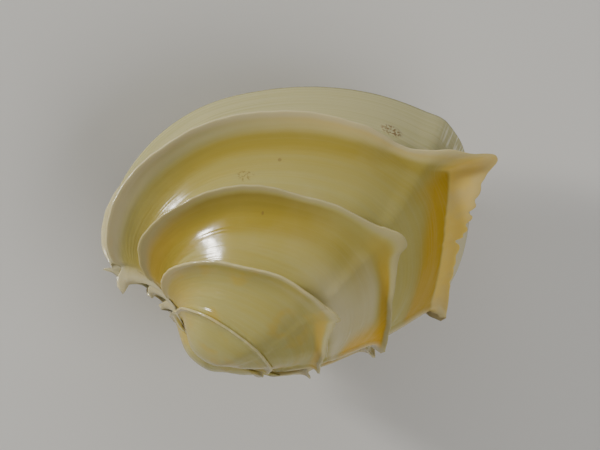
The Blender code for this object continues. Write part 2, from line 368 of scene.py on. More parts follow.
def curve_through(points, x):
    """A smooth curve through (x, value) points that never swings past them."""
    px, py = np.array(points, float).T
    step = np.diff(px)
    rise = np.diff(py) / step
    before, after = rise[:-1], rise[1:]
    near, far = 2 * step[1:] + step[:-1], step[1:] + 2 * step[:-1]
    turning = before * after <= 0
    before, after = np.where(turning, 1, before), np.where(turning, 1, after)
    inner = np.where(turning, 0, (near + far) / (near / before + far / after))
    slope = np.concatenate([rise[:1], inner, rise[-1:]])
    x = np.clip(x, px[0], px[-1])
    i = np.clip(np.searchsorted(px, x, side="right") - 1, 0, len(px) - 2)
    t = (x - px[i]) / step[i]
    return (
        py[i] * (1 + 2 * t) * (1 - t) ** 2
        + slope[i] * step[i] * t * (1 - t) ** 2
        + py[i + 1] * t * t * (3 - 2 * t)
        + slope[i + 1] * step[i] * t * t * (t - 1)
    )


def smooth_step(low, high, x):
    t = np.clip((x - low) / (high - low), 0, 1)
    return t * t * (3 - 2 * t)


def outline(turn):
    """Angle in degrees and reach of the margin at each turn, from 0 at the beak, along the
    escutcheon, round the margin and back along the lunule to the beak at 1."""
    turn = np.asarray(turn, float)
    first, last = MARGIN[0], MARGIN[-1]
    back = np.clip(turn / ESCUTCHEON_END, 0, 1)
    front = np.clip((1 - turn) / (1 - LUNULE_START), 0, 1)
    round_it = np.clip((turn - ESCUTCHEON_END) / (LUNULE_START - ESCUTCHEON_END), 0, 1)
    angle = first[0] + (last[0] - first[0]) * round_it
    reach = curve_through(MARGIN, angle) * back * front
    angle = angle - ESCUTCHEON_BOW * (1 - back) + LUNULE_BOW * (1 - front)
    return angle, reach


class Outline:
    """The columns of a valve's mesh: turns of the outline, closer together where it bends."""

    def __init__(self, law):
        angles = []
        for low, high, count in COLUMNS:
            angles.extend(low + (high - low) * k / count for k in range(count))
        angles.append(COLUMNS[-1][1])
        span = LUNULE_START - ESCUTCHEON_END
        first, last = MARGIN[0][0], MARGIN[-1][0]
        margin = [ESCUTCHEON_END + span * (a - first) / (last - first) for a in angles]
        back = 1 - np.linspace(1, 0, ESCUTCHEON_COLUMNS, endpoint=False) ** RIDGE_SPACING
        front = np.linspace(0, 1, LUNULE_COLUMNS + 2)[1:-1] ** RIDGE_SPACING
        self.turn = np.concatenate([
            ESCUTCHEON_END * back, margin, LUNULE_START + (1 - LUNULE_START) * front])
        self.rib = np.zeros_like(self.turn)
        for ridge, widths in ((ESCUTCHEON_END, RIB_BACK), (LUNULE_START, RIB_FRONT)):
            off = self.turn - ridge
            off /= np.where(off < 0, *widths)
            self.rib += np.exp(-off * off)
        self.law = law
        self.angle, self.reach = outline(self.turn)
        self.ahead = outline(np.minimum(self.turn + TURN_STEP, 1))
        self.behind = outline(np.maximum(self.turn - TURN_STEP, 0))

    def at(self, stage, angle, reach):
        return np.stack(growth_point(stage, np.radians(angle), reach, self.law), axis=-1)

    def growth_speed(self, stage):
        """How far the surface grows, in millimetres, for each unit of stage."""
        later, now = (self.at(when, self.angle, self.reach) for when in (stage + STAGE_STEP, stage))
        forward = later - now
        around = self.at(stage, *self.ahead) - self.at(stage, *self.behind)
        around /= np.maximum(np.linalg.norm(around, axis=-1, keepdims=True), LEAST_LENGTH)
        off = np.sum(forward * around, axis=-1, keepdims=True) * around
        return np.maximum(np.linalg.norm(forward - off, axis=-1) / STAGE_STEP, LEAST_SPEED)

    def height(self, frill):
        """The frill's height, chipped and uneven. It dies away past the two ridges."""
        tall = curve_through(frill["height"], self.angle)
        for at, deep, wide in frill.get("chips", ()):
            tall = tall - deep * np.exp(-(((self.angle - at) / wide) ** 2))
        waves = np.sin(self.angle * SHORT_WAVE) + np.sin(self.angle * LONG_WAVE + 2 * frill["run"])
        tall = tall + UNEVEN * waves
        on_escutcheon = np.clip((ESCUTCHEON_END - self.turn) / SPINE_BACK, 0, 1)
        on_lunule = np.clip((self.turn - LUNULE_START) / SPINE_FRONT, 0, 1)
        return tall * (1 - on_escutcheon) * (1 - on_lunule)


# ---------------------------------------------------------------- a valve's mesh


class Sheet:
    """Rows of mesh points, each with the values that the growth tree reads from it."""

    BEAK = dict(stage=1.0, frame=1.0, reach=0.0)
    PLAIN = dict(splay=0.0, lift=0.0, thick=0.0, rise=0.0, front=0.0, space=0.0, outside=1.0, frill=0.0)

    def __init__(self, columns):
        self.columns = columns
        self.rows = []

    def row(self, stage, frame=None, angle=None, reach=None, **values):
        columns = self.columns
        whole = dict(
            stage=stage,
            frame=stage if frame is None else frame,
            angle=np.radians(columns.angle if angle is None else angle),
            reach=columns.reach if reach is None else reach,
            ahead_angle=np.radians(columns.ahead[0]),
            ahead_reach=columns.ahead[1],
            behind_angle=np.radians(columns.behind[0]),
            behind_reach=columns.behind[1],
            lean=np.radians(curve_through(LEAN, columns.angle)),
            rib=columns.rib,
            **Sheet.PLAIN,
        )
        whole.update(values)
        size = np.ones_like(columns.turn)
        self.rows.append({name: np.asarray(value) * size for name, value in whole.items()})


def add_frill(sheet, frill, number, settings):
    """The rows up a frill's concave face, over its thin edge and down its front. Returns the
    stages where it starts and ends."""
    columns = sheet.columns
    stage = curve_through(frill["stage"], columns.angle)
    speed = columns.growth_speed(stage)
    tall = columns.height(frill)
    low = np.minimum(1, tall / LOW_FRILL)
    run = frill["run"] * low / speed
    foot = settings.frill_foot * low / speed
    edge = np.minimum(settings.frill_edge, tall)
    crease = curve_through(CREASE, columns.angle)
    splay = curve_through(frill.get("splay", SPLAY), columns.angle)
    shared = dict(splay=splay, frill=number, space=1)
    for t in np.linspace(0, 1, RISE_ROWS):
        weight = (1 - t) ** 2 + 2 * crease * t * (1 - t) + t * t
        back = run * (1 - t) ** 2 / weight
        sheet.row(stage - back, stage, lift=tall * t * t / weight, rise=t, **shared)
    for k in range(1, EDGE_ROWS + 1):
        turned = math.pi * k / (EDGE_ROWS + 1)
        over = edge / 2 * math.sin(turned) * EDGE_ROUND
        sheet.row(stage, stage, lift=tall + over, thick=edge / 2 * (1 - math.cos(turned)), rise=1,
                  **shared)
    for k in range(FRONT_ROWS + 1):
        q = k / FRONT_ROWS
        spread = q ** FOOT_POWER
        sheet.row(stage + foot * spread, stage, lift=tall * (1 - q), thick=edge * (1 - spread),
                  rise=1 - q, front=1, **shared)
    return stage - run, stage + foot


def outer_sheet(columns, settings):
    """Every row of the outer surface, from the beak's tip to the margin."""
    sheet = Sheet(columns)
    tip = math.exp(-BEAK_SWING / settings.swing_rate)
    reached = np.full_like(columns.turn, tip)
    for number, frill in enumerate(FRILLS):
        probe = Sheet(columns)
        start, end = add_frill(probe, frill, number, settings)
        steps = SPACE_ROWS if number else BEAK_ROWS
        for k in range(1 if number else 0, steps):
            part = k / steps
            sheet.row(reached * (start / reached) ** part, frill=number, space=part)
        sheet.rows.extend(probe.rows)
        reached = end
    for k in range(1, BAND_ROWS + 1):
        part = k / BAND_ROWS
        sheet.row(reached + (1 - reached) * part, frill=len(FRILLS), space=part)
    return sheet


def hollow_sheet(columns, settings):
    """Rows of the hollow, from the rim inward: the outline drawn in by the wall."""
    x = columns.reach * np.cos(np.radians(columns.angle))
    y = columns.reach * np.sin(np.radians(columns.angle))
    cx, cy = HOLLOW_CENTRE
    far = np.hypot(x - cx, y - cy)
    plate = np.maximum(
        1 - smooth_step(*PLATE_ENDS_BACK, columns.turn),
        smooth_step(*PLATE_STARTS_FRONT, columns.turn),
    )
    keep = 1 - (settings.wall + (settings.hinge_plate - settings.wall) * plate) / far
    x, y = cx + (x - cx) * keep, cy + (y - cy) * keep
    sheet = Sheet(columns)
    for k in range(HOLLOW_ROWS):
        stage = 1 - (1 - HOLLOW_TOP_STAGE) * (k / (HOLLOW_ROWS - 1)) ** HOLLOW_SPACING
        sheet.row(stage, angle=np.degrees(np.arctan2(y, x)), reach=np.hypot(x, y), outside=0)
    return sheet


def grid_mesh(name, outer, hollow):
    """A closed mesh of the two sheets with the values of every point as attributes. The points
    are at the origin: the growth tree puts them in place."""
    count = len(outer.columns.turn)
    names = list(outer.rows[0])
    values = {n: [] for n in names}
    faces = []

    def point(**given):
        for n in names:
            values[n].append(float(given.get(n, 0.0)))
        return len(values["stage"]) - 1

    def ring(row, columns):
        return [point(**{n: row[n][c] for n in names}) for c in columns]

    def join(near, far):
        """Faces between two rings, without the corners that meet in the beak."""
        for c in range(count):
            after = (c + 1) % count
            corners = dict.fromkeys([near[c], near[after], far[after], far[c]])
            if len(corners) > 2:
                faces.append(tuple(corners))

    def close(row, loop):
        middle = point(**{n: float(np.mean(row[n])) for n in names})
        faces.extend((loop[c], loop[(c + 1) % count], middle) for c in range(count))

    beak = point(**Sheet.BEAK)
    loops = [[beak, *ring(row, range(1, count))] for row in outer.rows]
    loops += [ring(row, range(count)) for row in hollow.rows]
    for near, far in zip(loops, loops[1:]):
        join(near, far)
    close(outer.rows[0], loops[0])
    close(hollow.rows[-1], loops[-1])
    mesh = bpy.data.meshes.new(name)
    mesh.from_pydata([(0.0, 0.0, 0.0)] * len(values["stage"]), [], faces)
    for n in names:
        mesh.attributes.new(n, "FLOAT", "POINT").data.foreach_set("value", values[n])
    return mesh


# ---------------------------------------------------------------- the growth tree

LAW = ("Swing rate", "Hinge axis", "Most turn", "Turn swing")
NUMBERS = (*LAW, "Side", "Half gap", "Ripple height", "Rib height", "Seed")
GROWTH_INPUTS = {
    "Geometry": "NodeSocketGeometry",
    **dict.fromkeys(NUMBERS, "NodeSocketFloat"),
    "Lies turned": "NodeSocketRotation",
    "Material": "NodeSocketMaterial",
}


def growth_tree():
    """The rule of growth as a node tree: it puts every point of a valve's mesh in its place."""
    tree = bpy.data.node_groups.new("valve growth", "GeometryNodeTree")
    for name, kind in GROWTH_INPUTS.items():
        tree.interface.new_socket(name, in_out="INPUT", socket_type=kind)
    tree.interface.new_socket("Geometry", in_out="OUTPUT", socket_type="NodeSocketGeometry")
    nodes = Nodes(tree)
    given = tree.nodes.new("NodeGroupInput")
    result = tree.nodes.new("NodeGroupOutput")

    def value(name):
        return Wire(nodes, given.outputs[name])

    def mark(name):
        return nodes.add("GeometryNodeInputNamedAttribute", dict(data_type="FLOAT"), name)

    law = [value(name) for name in LAW]

    def at(stage, angle, reach):
        return nodes.xyz(*growth_point(stage, angle, reach, law))

    angle, reach, frame_stage = mark("angle"), mark("reach"), mark("frame")
    here = at(frame_stage, angle, reach)
    later = at(frame_stage + TREE_STEP, angle, reach)
    ahead = at(frame_stage, mark("ahead_angle"), mark("ahead_reach"))
    behind = at(frame_stage, mark("behind_angle"), mark("behind_reach"))
    around = nodes.vector("NORMALIZE", nodes.vector("SUBTRACT", ahead, behind))
    forward = nodes.vector("SUBTRACT", later, here)
    normal = nodes.vector("NORMALIZE", nodes.vector("CROSS_PRODUCT", forward, around))
    growing = nodes.vector("CROSS_PRODUCT", around, normal)

    def combine(first, second):
        scaled = [nodes.vector("SCALE", v, amount) for v, amount in ((normal, first), (growing, second))]
        return nodes.vector("ADD", *scaled)

    lean, lift, thick = mark("lean"), mark("lift"), mark("thick")
    stage, outside = mark("stage"), mark("outside")
    along = nodes.xyz(stage * RIPPLES_ALONG, angle * RIPPLES_AROUND, mark("frill"))
    ripple = nodes.noise(along, RIPPLE_SCALE, RIPPLE_DETAIL, value("Seed")) - 0.5
    ripple = ripple * value("Ripple height")
    fades = outside * reach.rising(0.0, RIPPLE_REACH) * stage.rising(*RIPPLE_STAGES)
    relief = (ripple + mark("rib") * value("Rib height")) * fades
    up = lift * cos(lean) - thick * sin(lean) + relief
    out = lift * sin(lean) + thick * cos(lean)
    placed = nodes.vector("ADD", at(stage, angle, reach), combine(up, out))
    placed = nodes.vector("ADD", placed, nodes.vector("SCALE", around, lift * mark("splay")))
    apart = nodes.add("ShaderNodeSeparateXYZ", {}, placed)
    x, y, z = (Wire(nodes, s) for s in apart.socket.node.outputs)
    height = z.math("MAXIMUM", z, 0.0) + value("Half gap")
    placed = nodes.xyz(x, y, height * value("Side"))
    placed = nodes.vector("SCALE", placed, MM)
    placed = nodes.add("FunctionNodeRotateVector", {}, placed, value("Lies turned"))
    shell = nodes.add("GeometryNodeSetPosition", {}, value("Geometry"), Position=placed)
    shell = nodes.add("GeometryNodeRealizeInstances", {}, shell)
    shell = nodes.add("GeometryNodeSetMaterial", {}, shell, Material=value("Material"))
    tree.links.new(shell.socket, result.inputs["Geometry"])
    return tree


def add_object(name, data):
    thing = bpy.data.objects.new(name, data)
    bpy.context.collection.objects.link(thing)
    return thing


def into_mesh(bm, mesh):
    bm.to_mesh(mesh)
    bm.free()
    return mesh


def grown(name, blank, tree, values):
    """The plain mesh that the growth tree makes of a blank one."""
    maker = add_object(name + "_blank", blank)
    modifier = maker.modifiers.new("growth", "NODES")
    modifier.node_group = tree
    for item in tree.interface.items_tree:
        if item.in_out == "INPUT" and item.name in values:
            modifier[item.identifier] = values[item.name]
    depsgraph = bpy.context.evaluated_depsgraph_get()
    mesh = bpy.data.meshes.new_from_object(maker.evaluated_get(depsgraph))
    mesh.name = name
    maker.modifiers.clear()
    bpy.data.objects.remove(maker, do_unlink=True)
    bm = bmesh.new()
    bm.from_mesh(mesh)
    bmesh.ops.remove_doubles(bm, verts=bm.verts[:], dist=WELD)
    bmesh.ops.dissolve_degenerate(bm, edges=bm.edges[:], dist=WELD)
    bmesh.ops.recalc_face_normals(bm, faces=bm.faces[:])
    return into_mesh(bm, mesh)


# ---------------------------------------------------------------- finishes

# Streaks along the growth lines: rate by stage, drift by angle, detail, and what is added to the
# seed.
STREAKS = dict(
    patches=(20, 0.02, 2.0, 0),
    bands=(75, 0.010, 3.0, 3),
    threads=(260, 0.016, 2.0, 5),
    wander=(18, 1 / 16, 2.0, 9),
    fine=(700, 0.05, 3.0, 11),
    strength=(30, 1 / 30, 2.0, 15),
)
# Painted glints on wrinkles across the growth lines: rate by angle, drift by stage, detail and seed,
# likewise.
WRINKLE_GLINTS = (1.4, 7, 2.0, 21)
# Blotches that follow no line: scale for each metre, detail and seed, likewise.
BLOTCHES = dict(
    clouds=(160.0, 3.0, 7),
    grain=(2600.0, 2.0, 13),
    crumbs=(3500.0, 2.0, 17),
    mottles=(330.0, 2.0, 19),
)
# Marks of wear: angle and stage, and how far each reaches in angle and in stage.
ROUGH_SPOT = (50.9, 0.900, 2.4, 0.016)
SCUFF = (85.0, 0.707, 3.0, 0.020)
PITS = ((75.0, 0.751, 0.6, 0.006), (130.0, 0.65, 0.7, 0.008), (78.0, 0.59, 0.5, 0.005))

# How far the growth lines wander, in radians of their wave, and how strong the rest of the bump
# is beside them.
LINES_WANDER = 7.0
FINE_BUMP = 0.15
GRAIN_BUMP = 0.05
CRUMB_BUMP = 6.0

# The ligament: its fibres along and across for each metre, their height, and its worn patches.
FIBRES = (300, 2400, 2400)
FIBRE_HEIGHT = 0.08 * MM
WORN_PATCHES = 900.0

# How light sinks into the shell, in metres.
GLAZE = {
    "Subsurface Weight": 0.18,
    "Subsurface Radius": (1.0, 0.7, 0.35),
    "Subsurface Scale": 0.0012,
}


def colour(red, green, blue):
    """A linear colour from display values of 0 to 255."""
    values = (red / 255, green / 255, blue / 255)
    return tuple(v / 12.92 if v <= 0.04045 else ((v + 0.055) / 1.055) ** 2.4 for v in values)


def new_material(name, look, settings):
    """A material whose look gives the values of its shader's sockets by their names."""
    material = bpy.data.materials.new(name)
    material.use_nodes = True
    nodes = Nodes(material.node_tree)
    shader = material.node_tree.nodes["Principled BSDF"]
    for socket, value in look(nodes, settings).items():
        nodes.feed(value, shader.inputs[socket])
    return material


class ShellPaint:
    """Masks for the shell's tints and relief, from the values that every point of a valve has.

    The umbo is the oldest part, up to the first frill. The second, third and last parts each end
    in the frill of that name, and the band is the youngest part, out to the margin.
    """

    def __init__(self, nodes, settings):
        self.nodes = nodes
        self.settings = settings
        self.stage, self.rise, self.space = self.mark("stage"), self.mark("rise"), self.mark("space")
        self.frill, self.rib = self.mark("frill"), self.mark("rib")
        self.angle = self.mark("angle") * (180 / math.pi)
        self.place = nodes.object_place()
        parts = (self.part(number) for number in range(len(FRILLS) + 1))
        self.umbo, self.second, self.third, self.last, self.band = parts
        self.set_round_the_shell()
        self.set_up_a_frill()
        self.threads, self.fine = self.streaks("threads"), self.streaks("fine")
        self.clouds, self.crumbs = self.blotches("clouds"), self.blotches("crumbs")
        self.rough_spot = self.spot(*ROUGH_SPOT)

    def set_round_the_shell(self):
        angle = self.angle
        self.posterior = angle.falling(28, 50)
        self.far_posterior = angle.falling(12, 24)
        self.ahead = 1 - self.posterior
        self.anterior = angle.rising(95, 130)
        self.spout = angle.falling(37, 42)
        self.corner = angle.rising(34, 46) * angle.falling(52, 66)
        self.ridge = angle.falling(10.2, 12.5)
        self.lunule = angle.rising(139, 144)

    def set_up_a_frill(self):
        rise, space = self.rise, self.space
        self.behind = 1 - self.mark("front")
        self.level = rise.falling(0.0, 0.1)
        self.fillet = space.rising(0.50, 1.0) * rise.falling(0.3, 0.7) * self.behind
        self.deepest = rise.rising(0.15, 0.55) * rise.falling(0.76, 0.90) * self.behind
        self.close = rise.rising(0.30, 0.62) * rise.falling(0.80, 0.93) * self.behind
        self.flange = rise.rising(0.36, 0.50)
        self.crest = (rise.rising(0.85, 0.96) + rise.rising(0.62, 0.85) * self.anterior).clamp()

    def mark(self, name):
        return self.nodes.add("ShaderNodeAttribute", dict(attribute_name=name), out=FACTOR_OUTPUT)

    def part(self, number):
        """1 on one part of the shell, counted from the umbo at 0."""
        begins = self.frill.rising(number - 0.6, number - 0.4)
        return begins * self.frill.falling(number + 0.4, number + 0.6)

    def drawn_out(self, fast, slow, rate, drift, detail, seed):
        where = self.nodes.xyz(fast * rate, slow * drift, self.frill)
        return self.nodes.noise(where, 1.0, detail, self.settings.seed + seed)

    def streaks(self, name):
        return self.drawn_out(self.stage, self.angle, *STREAKS[name])

    def blotches(self, name):
        scale, detail, seed = BLOTCHES[name]
        return self.nodes.noise(self.place, scale, detail, self.settings.seed + seed)

    def spot(self, angle, stage, angle_reach, stage_reach):
        off_angle = (self.angle - angle) / angle_reach
        off_stage = (self.stage - stage) / stage_reach
        return (off_angle * off_angle + off_stage * off_stage).falling(0.3, 1.2)

    def layers(self):
        """Every layer of tint, the lowest first: its mask, its strength and its tint."""
        groups = (self.ground, self.rises, self.spaces, self.posterior_faces, self.last_frill,
                  self.youngest_band, self.oldest_parts, self.edges, self.all_over, self.wear)
        return [layer for group in groups for layer in group()]

    def ground(self):
        """Warmer patches and greener growth bands on the cream."""
        return [
            (self.streaks("patches").rising(0.35, 0.7), 0.5, "straw"),
            (self.streaks("bands").rising(0.35, 0.75), 0.35, "greenish"),
            (self.anterior, 0.35, "straw"),
        ]

    def rises(self):
        """Deeper tints in the concave rises up to the frills: the shell's own yellow, deepened as painted
        shade of the concave faces, and olive as painted shade.
        """
        second, third, last = self.second, self.third, self.last
        posterior, anterior = self.posterior, self.anterior
        off_corner = 1 - self.corner * 0.5
        on_third = third * self.space.rising(0.60, 0.95) * (0.9 - posterior * 0.7) * off_corner
        gathered = last * (0.35 - anterior * 0.15) + on_third + second * 0.1
        low = (last * 0.1 + third * 0.25) * self.rise.falling(0.0, 0.3) * self.behind
        deep = self.rise.rising(0.05, 0.35) * self.rise.falling(0.50, 0.78) * self.behind
        # Painted shade: olive darkens the deepest part of the third frill's rise, where it faces away from
        # the light.
        shaded = third * self.deepest * (1 - anterior * 0.4) * self.ahead * off_corner
        return [
            (gathered * self.fillet, 1.0, "yellow"),
            (low, 1.0, "yellow"),
            (last * deep * (1 - anterior * 0.7) * self.ahead, 0.7, "yellow"),
            (shaded, 0.75, "olive"),
            (third * self.close * posterior, 0.95, "amber"),
            (third * self.deepest * anterior, 0.25, "orange"),
            ((second * 0.15 + self.umbo * 0.2) * self.deepest, 1.0, "yellow"),
            (second * self.close * self.angle.falling(36, 46), 0.35, "orange"),
        ]

    def spaces(self):
        """Pale where the third part opens out, and yellow where the last part begins."""
        third, last, rise, space = self.third, self.last, self.rise, self.space
        opened = space.rising(0.0, 0.35) * space.falling(0.35, 0.95) * self.level
        cleared = self.posterior * space.rising(0.0, 0.35) * rise.falling(0.15, 0.45) * self.behind
        begins = space.falling(0.02, 0.16) * self.level
        return [
            (third * opened * self.angle.falling(30, 66), 0.8, "pale"),
            (third * cleared * (1 - self.far_posterior), 0.7, "pale"),
            (last * self.anterior * rise.rising(0.3, 0.7), 0.35, "cream"),
            (last * begins * self.ahead, 0.8, "yellow"),
            (last * self.posterior * space.rising(0.3, 0.9) * (1 - self.flange), 0.4, "yellow"),
        ]

    def posterior_faces(self):
        """The last frill's straight groove and its worn flange, and the third frill's end."""
        groove = (self.space * 0.6 + self.rise).rising(0.42, 0.62) * self.rise.falling(0.34, 0.46)
        end = (self.fillet + self.deepest).clamp()
        flange = self.flange * self.spout
        face = (flange + self.crest * self.posterior * 0.7).clamp()
        return [
            (self.last * groove * self.behind * self.spout, 0.95, "amber"),
            (self.third * self.far_posterior * end, 0.62, "orange"),
            (self.last * face, 0.9, "peach"),
            (self.last * flange * self.clouds.rising(0.48, 0.62), 0.35, "lavender"),
        ]

    def last_frill(self):
        """The last frill ahead of its spout: warmer half way up, pale at its crest."""
        here = self.last * self.ahead
        return [
            (here * self.rise.rising(0.5, 0.9) * self.angle.falling(60, 95), 0.5, "peach"),
            (here * self.rise.rising(0.55, 0.8), 0.3, "pale"),
            (here * self.crest, 0.7, "pale"),
        ]

    def youngest_band(self):
        """Greenish, with pale threads, and paler at its posterior end."""
        threads = self.threads.rising(0.35, 0.6) * 0.30 + 0.08
        return [
            (self.band, 0.8, "greenish"),
            (self.band * threads, 1.0, "pale"),
            (self.band * self.angle.falling(30, 37), 0.75, "pale"),
        ]

    def oldest_parts(self):
        """Honey mottles on the umbo and the second part."""
        mottles = self.blotches("mottles").rising(0.50, 0.66)
        oldest = (self.umbo + self.second).clamp()
        return [
            (self.umbo, 0.4, "cream"),
            (oldest * (self.anterior + mottles).clamp(), 0.6, "honey"),
        ]

    def edges(self):
        """The frills' edges, and the ribs along the two ridges."""
        ridge_rise = self.rise.rising(0.1, 0.5) * self.last * self.ridge
        return [
            (self.third * self.crest, 0.5, "lavender"),
            ((self.second + self.umbo).clamp() * self.crest, 0.5, "pale"),
            (self.last * self.ridge * self.rise.rising(0.6, 0.9), 0.7, "pale"),
            (self.rib * (1 - (ridge_rise + self.umbo).clamp()), 0.85, "pale"),
            (self.lunule * (1 - self.umbo * 0.9), 0.5, "pale"),
        ]

    def all_over(self):
        """Faint threads and clouds, painted glints on wrinkles at the margin, and the pale inside."""
        glint_streaks = self.drawn_out(self.angle, self.stage, *WRINKLE_GLINTS).rising(0.50, 0.60)
        glint_zone = self.band * self.angle.rising(31, 35) * self.angle.falling(39, 43)
        return [
            (self.threads.rising(0.5, 0.75), 0.07, "pale"),
            (self.threads.falling(0.25, 0.46), 0.08, "olive"),
            (self.clouds.rising(0.5, 0.8), 0.10, "pale"),
            # Painted highlight: pale glints streaked across the band at the margin's posterior end.
            (glint_streaks * glint_zone * self.stage.rising(0.93, 0.96), 0.8, "glint"),
            (1 - self.mark("outside"), 1.0, "pale"),
        ]

    def wear(self):
        """The rough spot at the last frill, a scuff and a few pits."""
        pits = sum(self.spot(*pit) for pit in PITS)
        scuff = self.spot(*SCUFF) * self.crumbs.rising(0.50, 0.60)
        return [
            (self.rough_spot * self.crumbs.rising(0.44, 0.60), 0.85, "speck"),
            ((scuff * 0.5 + pits * 0.5).clamp(), 1.0, "speck"),
        ]

    def roughness(self):
        return self.fine * 0.08 + self.clouds * 0.05 + 0.13

    def relief(self):
        """Growth lines that come and go, and the grain of the surface."""
        phase = self.stage * (self.settings.line_count * 2 * math.pi)
        lines = sin(phase + self.streaks("wander") * LINES_WANDER) * 0.5 + 0.5
        lines = lines * self.streaks("strength").rising(0.4, 0.75)
        crumbs = self.rough_spot * self.crumbs * CRUMB_BUMP
        return lines + self.fine * FINE_BUMP + self.blotches("grain") * GRAIN_BUMP + crumbs


def glazed_shell(nodes, settings):
    """Cream to greenish, deep yellow where a frill rises, partly as painted shade, pale at its ridges."""
    paint = ShellPaint(nodes, settings)
    base = settings.cream
    for mask, strength, name in paint.layers():
        base = nodes.mix(mask * strength, base, getattr(settings, name))
    bump = nodes.bump(1.0, settings.line_height * MM, paint.relief())
    return {"Base Color": base, "Roughness": paint.roughness(), "Normal": bump, **GLAZE}


def dried_ligament(nodes, settings):
    """Dark brown, in fine fibres along its length."""
    place = nodes.object_place()
    along = nodes.add("ShaderNodeMapping", {}, place, Scale=FIBRES)
    fibres = nodes.noise(along, 1.0, 4.0, settings.seed)
    worn = nodes.noise(place, WORN_PATCHES, 2.0, settings.seed + 1)
    lighter = fibres.rising(0.35, 0.75) * 0.7 + worn.rising(0.5, 0.8) * 0.3
    base = nodes.mix(lighter, settings.ligament_brown, settings.ligament_light)
    bump = nodes.bump(0.6, FIBRE_HEIGHT, fibres)
    return {"Base Color": base, "Roughness": 0.35 + fibres * 0.3, "Normal": bump}


def pale_floor(nodes, settings):
    """Pale and matt, with faint clouds of a darker tone."""
    clouds = nodes.noise(nodes.object_place(), 6.0, 2.0, settings.seed)
    base = nodes.mix(clouds * 0.12, settings.floor_colour, settings.floor_cloud)
    return {"Base Color": base, "Roughness": 0.85}


# ---------------------------------------------------------------- settings


def size_of(name, description, default):
    description += ", in millimetres"
    return FloatProperty(name=name, description=description, default=default, min=0.0)


def turn_of(name, description, degrees):
    return FloatProperty(name=name, description=description, default=math.radians(degrees),
                         subtype="ANGLE")


def tint_of(name, description, default):
    return FloatVectorProperty(name=name, description=description, default=default, size=3,
                               subtype="COLOR", min=0.0, max=1.0)


class VenusShellSettings(bpy.types.PropertyGroup):
    """Sizes and colours of the shell. Lengths are millimetres."""

    swing_rate: FloatProperty(
        name="Swing rate", description="Swing about the hinge for each e-fold of growth", default=1.15)
    hinge_axis: turn_of("Hinge axis", "Direction of the hinge from the posterior one", -32.8)
    turn_most: turn_of("Most turn", "Turn of the earliest stages in their own plane", 50)
    turn_swing: turn_of("Turn swing", "Swing over which most of the turn is gained", 116)
    valve_gap: size_of("Valve gap", "Gap between the closed valves", 0.08)
    frill_edge: size_of("Frill edge", "Thickness of a frill at its free edge", 0.30)
    frill_foot: size_of("Frill foot", "Thickness of a frill at its foot", 0.9)
    wall: size_of("Wall", "Thickness of a valve", 1.3)
    hinge_plate: size_of("Hinge plate", "Thickness of a valve at its hinge", 3.4)
    line_height: size_of("Growth line height", "Height of a growth line", 0.018)
    line_count: FloatProperty(
        name="Growth lines", description="Growth lines from the beak to the margin", default=80.0)
    ripple_height: size_of("Ripple height", "Height of the uneven ripples", 0.16)
    rib_height: size_of("Rib height", "Height of the rib along each ridge", 0.35)
    ligament_wide: size_of("Ligament width", "Width across the hinge", 1.1)
    ligament_high: size_of("Ligament height", "Height off the hinge", 0.9)
    seed: IntProperty(name="Seed", description="Seed of every uneven pattern", default=5)

    cream: tint_of("Cream", "Middle of the spaces", colour(166, 157, 92))
    straw: tint_of("Straw", "Warmer patches and the anterior end", colour(166, 149, 68))
    greenish: tint_of("Greenish cream", "Youngest band and some growth bands", colour(166, 162, 112))
    honey: tint_of("Honey", "Mottles on the oldest part", colour(176, 150, 60))
    # Yellow is partly the shell's own colour and partly painted shade in the concave rises. Olive is
    # painted shade there and also tints faint threads.
    yellow: tint_of("Yellow", "Foot of a frill's rise", colour(150, 130, 38))
    olive: tint_of("Olive", "Deepest part of a frill's rise", colour(134, 114, 24))
    amber: tint_of("Amber", "Deepest part of the rise at the posterior end", colour(170, 136, 4))
    orange: tint_of("Orange", "Ends of two frills' rises", colour(216, 164, 14))
    peach: tint_of("Peach", "Flange of the last frill", colour(218, 184, 84))
    pale: tint_of("Pale cream", "Frill edges, spines and ridges", colour(192, 182, 144))
    # Glint is a painted highlight on the wrinkles at the margin's posterior end.
    glint: tint_of("Glint", "Polished wrinkles at the margin's posterior end", colour(226, 222, 196))
    speck: tint_of("Speck", "Rough spot, scuff and pits", colour(112, 84, 50))
    lavender: tint_of("Lavender", "Third frill's edge and worn patches", colour(174, 164, 130))
    ligament_brown: tint_of("Ligament brown", "The ligament", colour(66, 40, 22))
    ligament_light: tint_of("Ligament light", "Worn fibres of the ligament", colour(120, 84, 48))
    floor_colour: tint_of("Floor", "The floor", colour(214, 212, 207))
    floor_cloud: tint_of("Floor clouds", "Faint clouds on the floor", (0.55, 0.54, 0.52))

    beak: FloatVectorProperty(
        name="Beak", description="Where the shell's own origin lies", size=3, subtype="TRANSLATION")


# ---------------------------------------------------------------- pieces


def add_piece(mesh, material, node):
    """A finished piece that stands for a node."""
    mesh.materials.clear()
    mesh.materials.append(material)
    mesh.shade_smooth()
    piece = add_object(mesh.name, mesh)
    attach(piece, "root")
    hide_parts(node)
    return piece


